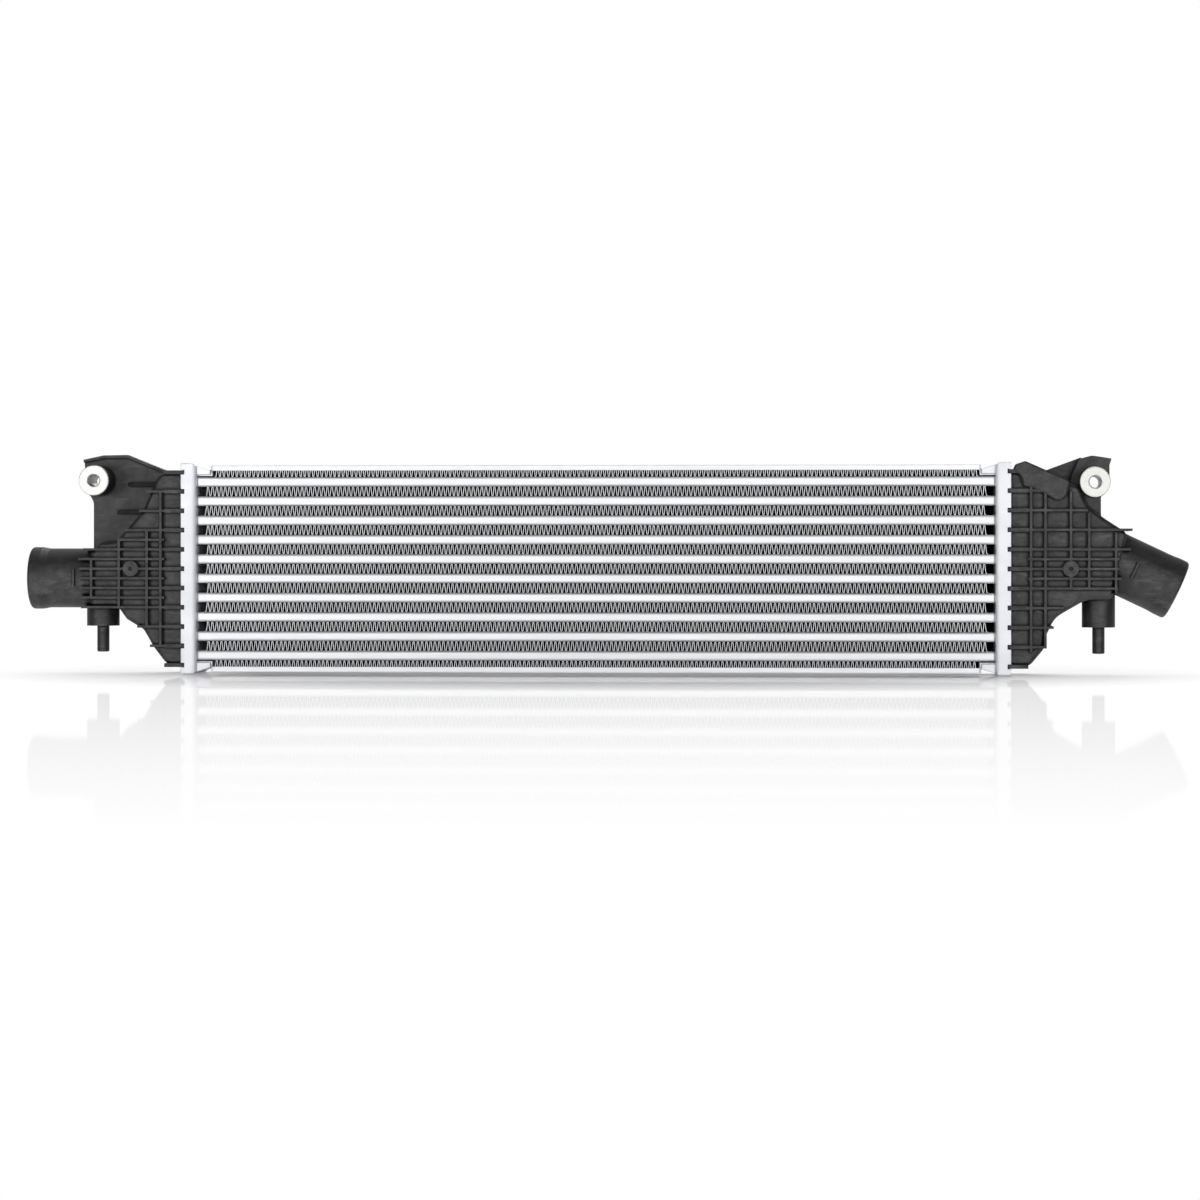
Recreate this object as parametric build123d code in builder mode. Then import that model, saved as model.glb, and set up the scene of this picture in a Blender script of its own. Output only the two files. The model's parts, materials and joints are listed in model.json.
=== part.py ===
"""Charge air cooler with a brazed aluminium core and two moulded end tanks.

Flat tubes run left to right between two stamped headers. Corrugated cooling fins are
brazed between the tubes, corrugated inner fins fill the tubes, and a side plate closes
the stack above and below. Each header is a shallow pan whose rim is crimped over the
foot of a hollow nylon tank, with a rubber gasket between them. A rubber strip behind
each header keeps air from slipping past the ends of the fins. Each tank carries its hose
spigot, a locating pin that points down, and a bracket with a rubber bush and a flanged
steel sleeve.

X runs along the tubes, -Y is the front, Z is up. The origin lies under the middle of
the whole part, on the surface that the headers stand on. All sizes are millimetres.
"""

import math
import os

from build123d import *

os.makedirs("parts", exist_ok=True)

# Core stack
core_length = 635.0          # between the facing webs of the two headers
core_depth = 50.0
tube_count = 10
tube_height = 7.5
tube_wall = 0.5
tube_corner = 2.0
fin_height = 7.9
fin_pitch = 3.43
fin_thickness = 0.2
fin_setback = 0.3            # fins stop this far behind the tube noses
fin_end_gap = 6.5            # empty space between a fin row and the header
inner_fin_pitch = 5.0
inner_fin_crest = 1.2
inner_fin_thickness = 0.25
inner_fin_setback = 4.0      # inner fins stop this far inside the tube ends

# Side plates
plate_thickness = 1.2
plate_lip = 4.0              # lip folded over the outer half of the outermost fin
plate_lip_gap = 0.2
plate_tube_gap = 0.9         # daylight between the joggled end and the outermost tube
joggle_reach = 12.5          # the plate steps in this far from the header
joggle_fin_gap = 1.5

# Headers
header_height = 168.0
header_depth = 62.0
header_width = 12.0          # along X, web and wall together
header_sheet = 2.0
header_round = 3.5
tube_protrusion = 1.5        # tube ends stand this far inside the header
crimp_lip = 2.6              # the rim is folded in this far over the tank foot
crimp_thickness = 1.8
notch_depth = 2.8            # gaps in the rim that let the tank's ribs in
notch_clearance = 0.7
tongue_step_gap = 0.3        # from the tapered end to the side plate's step
tongue_tip = 3.8
tongue_setback = 4.0

# Gaskets, air seals and tank feet
gasket_thickness = 3.0
gasket_width = 3.2
seal_width = 9.5             # rubber strip behind the gap beside a header
seal_thickness = 3.5
seal_end_gap = 0.4           # to the tapered ends of the header
foot_clearance = 0.4
neck_height = 155.0          # tank body where it leaves the header
neck_depth = 50.0

# Tanks
tank_wall = 3.0
edge_round = 4.0
rib_thickness = 1.9
foot_rib_thickness = 3.0
rib_depth = 60.0             # over the front and back ribs
rib_gap = 0.2                # daylight between a rib end and its notch
foot_zone_width = 13.5       # ribbed strip next to the header

# Hose spigots
spigot_radius = 23.8
spigot_bead_land = 9.0       # even stretch of the bead, rim round included
spigot_bead_length = 15.0
spigot_rim_round = 2.6
spigot_wall = 3.2
hose_stop_distance = 38.0    # from the open end back to the small stop bar
hose_stop_height = 14.0
hose_stop_width = 1.6
hose_stop_rise = 1.4
left_spigot_end = 455.5      # from the middle of the core to the open end
left_spigot_z = 76.4
left_bead_radius = 24.9
left_spigot_length = 62.0
right_spigot_end = 461.0
right_spigot_z = 66.6
right_bead_radius = 24.3
right_spigot_drop = 25.4     # degrees below the horizontal
right_spigot_length = 74.0

# Locating pins
pin_radius = 4.9
pin_length = 21.0
pin_chamfer = 0.8
pin_boss_radius = 13.1
left_pin_x = 398.0
left_pin_tip_z = 17.0
left_boss_top_z = 60.0
right_pin_x = 399.6
right_pin_tip_z = 16.6
right_boss_top_z = 66.0

# Bushes and sleeves
sleeve_radius = 6.4
sleeve_bore_radius = 4.6
sleeve_flange_radius = 12.0
sleeve_flange_thickness = 2.2
sleeve_length = 38.6
sleeve_front_y = -30.0
bush_radius = 11.3
bush_waist_radius = 9.2
bush_back_lip = 3.2
eye_radius = 12.6            # moulded ring around the waist of a bush
eye_back_y = 4.6
left_bush_x = 400.0
left_bush_z = 154.5
left_eye_front_y = 0.0
right_bush_x = 395.3
right_bush_z = 152.4
right_eye_front_y = -11.0

# Brackets
plate_rim_rise = 4.0         # the left plate's top rim stands this far forward
plate_rim_thickness = 2.2
gusset_thickness = 2.6
gusset_root_y = -20.0
bracket_wall = 2.6
bracket_face_thickness = 3.0
web_thickness = 4.0
arm_front_y = -31.0
arm_edge_chamfer = 1.2

# Round pads on the tank faces
pad_radius = 6.2
pad_rise = 5.2               # a little prouder than the ribs
pad_dimple_radius = 1.6
pad_dimple_depth = 1.0
left_pad_x = 370.3
right_pad_x = 376.3

# Worked out from the above
tube_pitch = tube_height + fin_height
tube_length = core_length + 2 * (header_sheet + tube_protrusion)
middle_z = header_height / 2
stack_half = (tube_count * tube_height + (tube_count + 1) * fin_height) / 2
plate_end_level = stack_half - fin_height + plate_tube_gap
header_face = core_length / 2
header_rim = header_face + header_width
foot_inner = header_face + header_sheet + gasket_thickness
foot_outer = header_rim - crimp_thickness
foot_depth = header_depth - 2 * header_sheet - 2 * foot_clearance
foot_height = header_height - 2 * header_sheet - 2 * foot_clearance
foot_zone_end = header_rim + foot_zone_width
pad_front_y = -neck_depth / 2 - pad_rise
rib_start = header_rim - notch_depth + rib_gap
neck_top = middle_z + neck_height / 2
neck_bottom = middle_z - neck_height / 2
drop = math.radians(right_spigot_drop)
left_reach = left_spigot_end
right_reach = (
    right_spigot_end
    + (right_bead_radius - spigot_rim_round) * math.sin(drop)
    + spigot_rim_round * (1 - math.cos(drop))
)
core_x = (left_reach - right_reach) / 2


def along(side, distance):
    """X of a point this far from the middle of the core, on the side -1 or +1."""
    return core_x + side * distance


def at_depth(y):
    """Upright plane at this depth, whose sketches are X against Z and face the front."""
    return Plane.XZ.offset(-y)


def tube_level(index):
    """Height of the middle of a tube, counted from 0 at the bottom."""
    return middle_z + (index - (tube_count - 1) / 2) * tube_pitch


def fin_level(index):
    """Height of the middle of a fin row, counted from 0 at the bottom."""
    return middle_z + (index - tube_count / 2) * tube_pitch


def rib_level(row):
    """Height of a tank rib, counted in fin rows up from the middle one."""
    return middle_z + row * tube_pitch


def zigzag(length, height, pitch, thickness):
    """Closed outline of a sheet folded into sharp waves, as high as stated over its tips."""
    folds = 2 * round(length / pitch)
    run = length / folds
    tip = thickness * math.hypot(run, height) / run
    upper = []
    lower = []
    for fold in range(folds + 1):
        x = -length / 2 + fold * run
        crest = fold % 2 == 1
        upper.append((x, height / 2 if crest else tip - height / 2))
        lower.append((x, height / 2 - tip if crest else -height / 2))
    return upper + lower[::-1]


def corrugation(length, height, pitch, crest, thickness):
    """Closed outline of a sheet folded into waves with flat crests."""
    waves = max(2, round(length / pitch))
    step = length / waves
    leg = step / 2 - crest
    rise = height - thickness
    mitre = math.tan(math.atan2(rise, leg) / 2)
    upper = []
    lower = []
    for wave in range(waves):
        start = -length / 2 + wave * step + leg / 2
        corners = [
            (start, rise / 2, -mitre),
            (start + crest, rise / 2, mitre),
            (start + crest + leg, -rise / 2, mitre),
            (start + 2 * crest + leg, -rise / 2, -mitre),
        ]
        for x, z, lean in corners:
            upper.append((x + lean * thickness / 2, z + thickness / 2))
            lower.append((x - lean * thickness / 2, z - thickness / 2))
    return upper + lower[::-1]


def save(piece, name):
    """Give a finished piece its name and write its file."""
    piece.part.label = name
    export_step(piece.part, f"parts/{name}.step")


# Tubes and what is brazed in and between them

def make_tube(index):
    """Flat brazed tube whose ends pass through both headers."""
    with BuildPart() as tube:
        with BuildSketch(Plane.YZ.offset(core_x - tube_length / 2)):
            with Locations((0, tube_level(index))):
                RectangleRounded(core_depth, tube_height, tube_corner)
                RectangleRounded(
                    core_depth - 2 * tube_wall,
                    tube_height - 2 * tube_wall,
                    tube_corner - tube_wall,
                    mode=Mode.SUBTRACT,
                )
        extrude(amount=tube_length)
    save(tube, f"tube_{index + 1:02d}")


def make_inner_fin(index):
    """Folded strip brazed inside a tube, with its channels along the tube."""
    length = tube_length - 2 * inner_fin_setback
    width = core_depth - 2 * tube_corner
    height = tube_height - 2 * tube_wall
    outline = corrugation(width, height, inner_fin_pitch, inner_fin_crest, inner_fin_thickness)
    with BuildPart() as inner_fin:
        with BuildSketch(Plane.YZ.offset(core_x - length / 2)):
            with BuildLine():
                Polyline(*[(y, z + tube_level(index)) for y, z in outline], close=True)
            make_face()
        extrude(amount=length)
    save(inner_fin, f"inner_fin_{index + 1:02d}")


def fin_strip(length):
    """Folded cooling strip of this length, lying at the height of the surface Z = 0."""
    depth = core_depth - 2 * fin_setback
    with BuildPart() as strip:
        with BuildSketch(Plane.XZ):
            with BuildLine():
                outline = zigzag(length, fin_height, fin_pitch, fin_thickness)
                Polyline(*[(x + core_x, z) for x, z in outline], close=True)
            make_face()
        extrude(amount=depth / 2, both=True)
    return strip.part


def make_fins():
    """Cooling fins between the tubes, and a shorter one under each side plate."""
    long_strip = fin_strip(core_length - 2 * fin_end_gap)
    short_strip = fin_strip(core_length - 2 * (joggle_reach + joggle_fin_gap))
    for index in range(tube_count + 1):
        outermost = index in (0, tube_count)
        strip = short_strip if outermost else long_strip
        with BuildPart() as fin:
            add(strip.moved(Location((0, 0, fin_level(index)))))
        save(fin, f"fin_{index + 1:02d}")


def make_side_plate(name, up):
    """Channel over the outermost fin; its ends step in and enter the headers."""
    outer = stack_half + plate_thickness
    step = header_face - joggle_reach
    reach = header_face + header_sheet
    lip_y = core_depth / 2 - fin_setback + plate_lip_gap
    profile = [
        (-step, stack_half), (step, stack_half), (step, plate_end_level),
        (reach, plate_end_level), (reach, plate_end_level + plate_thickness),
        (step + plate_thickness, plate_end_level + plate_thickness),
        (step + plate_thickness, outer), (-step - plate_thickness, outer),
        (-step - plate_thickness, plate_end_level + plate_thickness),
        (-reach, plate_end_level + plate_thickness), (-reach, plate_end_level),
        (-step, plate_end_level),
    ]
    with BuildPart() as plate:
        with BuildSketch(Plane.XZ):
            with BuildLine():
                Polyline(*[(x + core_x, up * z + middle_z) for x, z in profile], close=True)
            make_face()
        extrude(amount=core_depth / 2, both=True)
        for front in (-1, 1):
            with BuildSketch(at_depth(front * lip_y)):
                with Locations((core_x, middle_z + up * (outer - plate_lip / 2))):
                    Rectangle(2 * step, plate_lip)
            extrude(amount=-front * plate_thickness)
    save(plate, name)


# Headers, gaskets and air seals

def tongue_outline(side, up):
    """Corners of a header's tapered end, which reaches over the side plate."""
    low = middle_z + up * (plate_end_level + plate_thickness)
    high = middle_z + up * (header_height / 2 - header_round / 2)
    root = along(side, header_face + header_sheet / 2)
    tip = along(side, header_face - joggle_reach + plate_thickness + tongue_step_gap)
    return [(root, low), (tip, low), (tip, low + up * tongue_tip),
            (along(side, header_face), high), (root, high)]


def make_header(name, side):
    """Stamped pan that holds the tube ends, with its rim crimped over the tank foot."""
    inside_height = header_height - 2 * header_sheet
    inside_depth = header_depth - 2 * header_sheet
    with BuildPart() as header:
        with BuildSketch(Plane.YZ.offset(along(side, header_face))):
            with Locations((0, middle_z)):
                Rectangle(header_depth, header_height)
        extrude(amount=side * header_width)
        core_side = header.faces().sort_by(Axis.X)[0 if side > 0 else -1]
        fillet(core_side.edges(), header_round)
        with BuildSketch(Plane.YZ.offset(along(side, header_face + header_sheet))):
            with Locations((0, middle_z)):
                Rectangle(inside_depth, inside_height)
        extrude(amount=side * (foot_outer - header_face - header_sheet), mode=Mode.SUBTRACT)
        with BuildSketch(Plane.YZ.offset(along(side, foot_outer))):
            with Locations((0, middle_z)):
                Rectangle(inside_depth - 2 * crimp_lip, inside_height - 2 * crimp_lip)
        extrude(amount=side * crimp_thickness, mode=Mode.SUBTRACT)
        for up in (-1, 1):
            with BuildSketch(Plane.XZ):
                with BuildLine():
                    Polyline(*tongue_outline(side, up), close=True)
                make_face()
            extrude(amount=header_depth / 2 - tongue_setback, both=True)
        with BuildSketch(Plane.XZ):
            for level in range(tube_count + 1):
                with Locations((along(side, header_rim), fin_level(level))):
                    Rectangle(2 * notch_depth, foot_rib_thickness + notch_clearance)
        extrude(amount=header_depth, both=True, mode=Mode.SUBTRACT)
        with BuildSketch(Plane.YZ.offset(along(side, header_face))):
            for index in range(tube_count):
                with Locations((0, tube_level(index))):
                    RectangleRounded(core_depth, tube_height, tube_corner)
            for up in (-1, 1):
                with Locations((0, middle_z + up * (plate_end_level + plate_thickness / 2))):
                    Rectangle(core_depth, plate_thickness)
        extrude(amount=side * header_sheet, mode=Mode.SUBTRACT)
    save(header, name)


def make_gasket(name, side):
    """Rubber ring squeezed between the header's web and the foot of the tank."""
    with BuildPart() as gasket:
        with BuildSketch(Plane.YZ.offset(along(side, header_face + header_sheet))):
            with Locations((0, middle_z)):
                Rectangle(foot_depth, foot_height)
                Rectangle(
                    foot_depth - 2 * gasket_width,
                    foot_height - 2 * gasket_width,
                    mode=Mode.SUBTRACT,
                )
        extrude(amount=side * gasket_thickness)
    save(gasket, name)


def make_air_seal(name, side):
    """Rubber strip on the back of the tubes that closes the gap beside a header."""
    height = 2 * (plate_end_level + plate_thickness - seal_end_gap)
    with BuildPart() as seal:
        with BuildSketch(at_depth(core_depth / 2 + seal_thickness)):
            with Locations((along(side, header_face - seal_width / 2), middle_z)):
                Rectangle(seal_width, height)
        extrude(amount=seal_thickness)
    save(seal, name)


# Tanks

def placed(side, corners):
    """Outline corners, given as distance from the core's middle and height, in the frame."""
    return [(along(side, distance), z) for distance, z in corners]


def tank_body(side, corners, radii):
    """Outside of a tank's box, flat in front and behind, with its free edges rounded."""
    with BuildPart() as body:
        with BuildSketch(Plane.XZ):
            with BuildLine():
                FilletPolyline(*placed(side, corners), radius=radii, close=True)
            make_face()
        extrude(amount=neck_depth / 2, both=True)
        for face in (body.faces().sort_by(Axis.Y)[0], body.faces().sort_by(Axis.Y)[-1]):
            edges = face.edges().sort_by(Axis.X)
            fillet(edges[1:] if side > 0 else edges[:-1], edge_round)
    return body.part


def tank_cavity(side, corners, radii):
    """Space inside a tank's box, open towards the header."""
    with BuildPart() as cavity:
        with BuildSketch(Plane.XZ):
            with BuildLine():
                FilletPolyline(*placed(side, corners), radius=radii, close=True)
            make_face()
            offset(amount=-tank_wall)
        extrude(amount=neck_depth / 2 - tank_wall, both=True)
        with BuildSketch(Plane.YZ.offset(along(side, foot_inner))):
            with Locations((0, middle_z)):
                Rectangle(neck_depth - 2 * tank_wall, neck_height - 2 * tank_wall)
        extrude(amount=side * 2 * tank_wall)
    return cavity.part


def spigot_plane(end, inward):
    """Plane through a spigot's axis, with its sketch Y along the axis from the open end."""
    return Plane(origin=end, x_dir=(-inward[2], 0, inward[0]), z_dir=(0, 1, 0))


def spigot_body(end, inward, length, bead_radius):
    """Outside of a hose spigot: a tube with a soft bead and a rounded rim."""
    with BuildPart() as spigot:
        with BuildSketch(spigot_plane(end, inward)):
            with BuildLine():
                Line((0, 0), (bead_radius - spigot_rim_round, 0))
                RadiusArc(
                    (bead_radius - spigot_rim_round, 0),
                    (bead_radius, spigot_rim_round),
                    -spigot_rim_round,
                )
                Line((bead_radius, spigot_rim_round), (bead_radius, spigot_bead_land))
                Line((bead_radius, spigot_bead_land), (spigot_radius, spigot_bead_length))
                Line((spigot_radius, spigot_bead_length), (spigot_radius, length))
                Line((spigot_radius, length), (0, length))
                Line((0, length), (0, 0))
            make_face()
        revolve(axis=Axis(end, inward))
        with BuildSketch(spigot_plane(end, inward)):
            with Locations((0, hose_stop_distance)):
                Rectangle(hose_stop_height, hose_stop_width)
        extrude(amount=-(spigot_radius + hose_stop_rise))
    return spigot.part


def spigot_bore(end, inward, length):
    """Round air way through a hose spigot."""
    with BuildPart() as bore:
        with BuildSketch(Plane(origin=end, z_dir=inward)):
            Circle(spigot_radius - spigot_wall)
        extrude(amount=length)
    return bore.part


def rib_grid(side, levels, uprights):
    """Moulded grid of level and upright ribs round a tank, before it is hollowed out."""
    with BuildPart() as grid:
        with BuildSketch(Plane.XZ):
            for row, reach in levels.items():
                near = foot_zone_end if row % 1 else rib_start
                with Locations((along(side, (near + reach) / 2), rib_level(row))):
                    Rectangle(reach - near, rib_thickness)
            for row in range(-tube_count // 2, tube_count // 2 + 1):
                with Locations((along(side, (rib_start + foot_zone_end) / 2), rib_level(row))):
                    Rectangle(foot_zone_end - rib_start, foot_rib_thickness)
            for distance, (low, high) in uprights.items():
                middle = (rib_level(low) + rib_level(high)) / 2
                with Locations((along(side, distance), middle)):
                    Rectangle(rib_thickness, rib_level(high) - rib_level(low) + rib_thickness)
        extrude(amount=rib_depth / 2, both=True)
    return grid.part


def locating_pin(x, tip_z, boss_top):
    """Round boss under a tank with a chamfered pin that points down."""
    with BuildPart() as pin:
        with BuildSketch(Plane.XY.offset(tip_z)):
            with Locations((x, 0)):
                Circle(pin_radius)
        extrude(amount=pin_length)
        chamfer(pin.faces().sort_by(Axis.Z)[0].edges(), pin_chamfer)
        with BuildSketch(Plane.XY.offset(tip_z + pin_length)):
            with Locations((x, 0)):
                Circle(pin_boss_radius)
        extrude(amount=boss_top - tip_z - pin_length)
    return pin.part


def face_pad(x, radius, front, depth):
    """Round slug of this radius, let into the front of a tank from a depth Y = front."""
    with BuildPart() as pad:
        with BuildSketch(at_depth(front)):
            with Locations((x, middle_z)):
                Circle(radius)
        extrude(amount=-depth)
    return pad.part


def tank_foot(side):
    """Flange at the open end of a tank, held under the header's rim."""
    with BuildPart() as foot:
        with BuildSketch(Plane.YZ.offset(along(side, foot_inner))):
            with Locations((0, middle_z)):
                Rectangle(foot_depth, foot_height)
        extrude(amount=side * (foot_outer - foot_inner))
    return foot.part


def left_bracket():
    """Upright plate with a forward top rim, gussets and a ring for the bush."""
    bush = (along(-1, left_bush_x), left_bush_z)
    with BuildPart() as bracket:
        with BuildSketch(at_depth(eye_back_y)):
            with BuildLine():
                FilletPolyline(*placed(-1, left_plate), radius=left_plate_radii, close=True)
            make_face()
            with Locations(bush):
                Circle(eye_radius)
        extrude(amount=eye_back_y - left_eye_front_y)
        with BuildSketch(at_depth(eye_back_y)):
            with BuildLine():
                low = [(distance, z - plate_rim_thickness) for distance, z in left_rim[::-1]]
                Polyline(*placed(-1, left_rim + low), close=True)
            make_face()
        extrude(amount=eye_back_y - left_eye_front_y + plate_rim_rise)
        for root, tip, z in left_gussets:
            with BuildSketch(Plane.XY.offset(z - gusset_thickness / 2)):
                with BuildLine():
                    Polyline(
                        (along(-1, root), gusset_root_y),
                        (along(-1, root), eye_back_y),
                        (along(-1, tip), left_eye_front_y),
                        close=True,
                    )
                make_face()
            extrude(amount=gusset_thickness)
        with BuildSketch(at_depth(eye_back_y)):
            with Locations(bush):
                Circle(bush_waist_radius)
        extrude(amount=2 * eye_radius, both=True, mode=Mode.SUBTRACT)
    return bracket.part


def slanted_arm():
    """Thick arm from the top of the right tank to its bracket, with a bevelled front."""
    with BuildPart() as arm:
        with BuildSketch(at_depth(arm_front_y)):
            with BuildLine():
                FilletPolyline(*placed(1, right_arm), radius=right_arm_radii, close=True)
            make_face()
        extrude(amount=neck_depth / 2 - tank_wall + arm_front_y)
        chamfer(arm.faces().sort_by(Axis.Y)[0].edges(), arm_edge_chamfer)
    return arm.part


def right_bracket():
    """Hollow-backed bracket with a bush ring, a web beside it and a thick slanted arm."""
    bush = (along(1, right_bush_x), right_bush_z)
    with BuildPart() as bracket:
        with BuildSketch(at_depth(eye_back_y)) as outline:
            with BuildLine():
                FilletPolyline(*placed(1, right_plate), radius=right_plate_radii, close=True)
            make_face()
            with Locations(bush):
                Circle(eye_radius)
        extrude(amount=eye_back_y - right_eye_front_y)
        with BuildSketch(at_depth(eye_back_y)):
            add(outline.sketch.faces())
            offset(amount=-bracket_wall, mode=Mode.REPLACE)
            with Locations(bush):
                Circle(eye_radius, mode=Mode.SUBTRACT)
        depth = eye_back_y - right_eye_front_y - bracket_face_thickness
        extrude(amount=depth, mode=Mode.SUBTRACT)
        with BuildSketch(Plane.XZ):
            with BuildLine():
                Polyline(*placed(1, right_web), close=True)
            make_face()
        extrude(amount=web_thickness / 2, both=True)
        add(slanted_arm())
        with BuildSketch(at_depth(eye_back_y)):
            with Locations(bush):
                Circle(bush_waist_radius)
        extrude(amount=2 * eye_radius, both=True, mode=Mode.SUBTRACT)
    return bracket.part


def make_tank(name, side, outline, ribs, spigot, bead_radius, pin, pad_x, bracket):
    """One moulded tank: bracket, box, ribs, spigot and pin in one piece, hollow inside."""
    corners, radii = outline
    levels, uprights = ribs
    with BuildPart() as tank:
        add(bracket)
        add(tank_body(side, corners, radii))
        add(rib_grid(side, levels, uprights))
        add(spigot_body(*spigot, bead_radius))
        add(locating_pin(*pin))
        add(face_pad(pad_x, pad_radius, pad_front_y, pad_rise + tank_wall / 2))
        add(tank_foot(side))
        add(tank_cavity(side, corners, radii), mode=Mode.SUBTRACT)
        add(spigot_bore(*spigot), mode=Mode.SUBTRACT)
        dimple = face_pad(pad_x, pad_dimple_radius, pad_front_y, pad_dimple_depth)
        add(dimple, mode=Mode.SUBTRACT)
    save(tank, name)


# Bushes and sleeves

def make_sleeve(name, x, z):
    """Flanged steel sleeve that the mounting bolt clamps."""
    with BuildPart() as sleeve:
        with BuildSketch(at_depth(sleeve_front_y)):
            with Locations((x, z)):
                Circle(sleeve_flange_radius)
        extrude(amount=-sleeve_flange_thickness)
        with BuildSketch(at_depth(sleeve_front_y)):
            with Locations((x, z)):
                Circle(sleeve_radius)
        extrude(amount=-sleeve_length)
        with BuildSketch(at_depth(sleeve_front_y)):
            with Locations((x, z)):
                Circle(sleeve_bore_radius)
        extrude(amount=-sleeve_length, mode=Mode.SUBTRACT)
    save(sleeve, name)


def make_bush(name, x, z, eye_front_y):
    """Rubber bush: a long collar in front, a waist in the eye and a lip behind it."""
    front = sleeve_front_y + sleeve_flange_thickness
    steps = [
        (front, eye_front_y, bush_radius),
        (eye_front_y, eye_back_y, bush_waist_radius),
        (eye_back_y, eye_back_y + bush_back_lip, bush_radius),
    ]
    with BuildPart() as bush:
        for near, far, radius in steps:
            with BuildSketch(at_depth(near)):
                with Locations((x, z)):
                    Circle(radius)
                    Circle(sleeve_radius, mode=Mode.SUBTRACT)
            extrude(amount=near - far)
    save(bush, name)


# Outlines as distance from the middle of the core and height, then the corner rounds

left_corners = [
    (foot_inner, neck_top), (348.0, neck_top), (361.0, 131.0), (383.0, 106.0), (396.0, 105.0),
    (404.0, 97.0), (404.0, 53.5), (381.0, 52.5), (374.5, 43.5), (361.0, 35.5), (353.0, 21.5),
    (341.5, neck_bottom), (foot_inner, neck_bottom),
]
left_radii = [0, 12, 20, 8, 6, 4.5, 4.5, 4, 6, 10, 14, 12, 0]
right_corners = [
    (foot_inner, neck_top), (352.0, neck_top), (383.0, 149.0), (390.0, 133.0), (404.0, 123.0),
    (421.0, 112.0), (409.0, 60.0), (388.0, 59.5), (364.0, 45.5), (357.5, 32.0), (355.5, 21.0),
    (343.5, neck_bottom), (foot_inner, neck_bottom),
]
right_radii = [0, 8, 8, 8, 10, 6, 6, 24, 20, 8, 8, 12, 0]

left_plate = [
    (336.0, 157.0), (345.4, 162.6), (377.7, 175.6), (397.0, 175.3), (413.5, 171.7),
    (412.6, 160.0), (411.5, 147.0), (405.8, 138.0), (405.8, 90.0), (372.0, 90.0),
    (336.0, 125.0),
]
left_plate_radii = [0, 0, 4, 40, 1, 0, 4, 10, 0, 0, 0]
left_rim = [(342.0, 161.2), (377.7, 175.4), (397.0, 175.2), (413.4, 171.7)]
left_gussets = [(348.0, 378.1, 151.6), (356.0, 386.9, 129.4)]   # root, tip, height

right_plate = [
    (384.3, 171.1), (393.8, 173.6), (409.3, 171.2), (407.6, 166.0), (407.6, 148.0),
    (400.9, 141.0), (400.9, 127.0), (402.4, 121.0), (392.0, 124.0), (388.0, 131.0),
    (378.8, 138.5), (376.6, 152.0), (378.0, 157.5),
]
right_plate_radii = [6, 10, 0.8, 2, 4, 3, 0, 0, 0, 5, 6, 5, 5]
right_web = [
    (345.0, 150.0), (345.0, 157.0), (358.3, 162.2), (385.5, 172.2), (392.0, 168.0),
    (392.0, 122.0), (372.0, 122.0),
]
right_arm = [
    (331.0, 162.0), (333.0, 166.4), (340.6, 168.9), (376.0, 153.2), (373.0, 142.5),
    (366.5, 137.0), (357.0, 143.2), (345.0, 148.4), (339.5, 149.2), (336.8, 158.0),
]
right_arm_radii = [1.5, 1.5, 2, 3, 6, 5, 12, 5, 4, 4]

# Level ribs: row counted from the middle (half rows lie between two feet), and reach
left_levels = {
    5: 344.0, 4: 358.5, 3: 363.3, 2: 374.5, 1.5: 381.0, 1: 408.5, 0.5: 412.5, 0: 411.8,
    -0.5: 411.8, -1: 411.0, -1.5: 411.0, -2: 410.2, -3: 364.8, -4: 354.5, -5: 342.0,
}
right_levels = {
    5: 340.0, 4: 356.8, 3: 389.5, 2: 424.3, 1: 423.0, 0.5: 414.2, 0: 414.2,
    -0.5: 416.0, -1: 412.9, -2: 370.8, -3: 362.8, -4: 355.9, -5: 340.0,
}
# Upright ribs: distance from the core, and the rows that they run between
left_uprights = {346.1: (-4, 4), 357.2: (-3, 2), 379.7: (-2, 1.5), 402.1: (-1.5, 0.5)}
right_uprights = {
    345.1: (-4.2, 4.2), 356.4: (-4, 4), 376.3: (-1, 3.9), 390.5: (-1, 2.8), 411.5: (-1.2, 1.8),
}


def main():
    """Make every piece and write its file."""
    for index in range(tube_count):
        make_tube(index)
        make_inner_fin(index)
    make_fins()
    make_side_plate("upper_side_plate", 1)
    make_side_plate("lower_side_plate", -1)
    for name, side in (("left", -1), ("right", 1)):
        make_header(f"{name}_header", side)
        make_gasket(f"{name}_gasket", side)
        make_air_seal(f"{name}_air_seal", side)

    left_end = (along(-1, left_spigot_end), 0, left_spigot_z)
    make_tank(
        "left_tank", -1, (left_corners, left_radii), (left_levels, left_uprights),
        (left_end, (1, 0, 0), left_spigot_length), left_bead_radius,
        (along(-1, left_pin_x), left_pin_tip_z, left_boss_top_z),
        along(-1, left_pad_x), left_bracket(),
    )
    right_end = (along(1, right_spigot_end), 0, right_spigot_z)
    make_tank(
        "right_tank", 1, (right_corners, right_radii), (right_levels, right_uprights),
        (right_end, (-math.cos(drop), 0, math.sin(drop)), right_spigot_length), right_bead_radius,
        (along(1, right_pin_x), right_pin_tip_z, right_boss_top_z),
        along(1, right_pad_x), right_bracket(),
    )

    left_bush = (along(-1, left_bush_x), left_bush_z)
    right_bush = (along(1, right_bush_x), right_bush_z)
    make_sleeve("left_sleeve", *left_bush)
    make_bush("left_bush", *left_bush, left_eye_front_y)
    make_sleeve("right_sleeve", *right_bush)
    make_bush("right_bush", *right_bush, right_eye_front_y)


main()
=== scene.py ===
"""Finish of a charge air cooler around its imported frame.

The frame holds every piece at its real size. This file gives each of them its surface, puts
folded and louvred strips in place of the plain cooling fins, turned sleeves and moulded
bushes in place of the plain ones, and runs a braze fillet round every tube end. The scene is
a pale floor, soft studio lamps and a camera at the photograph's viewing angle.
"""

import json
import math

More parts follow.
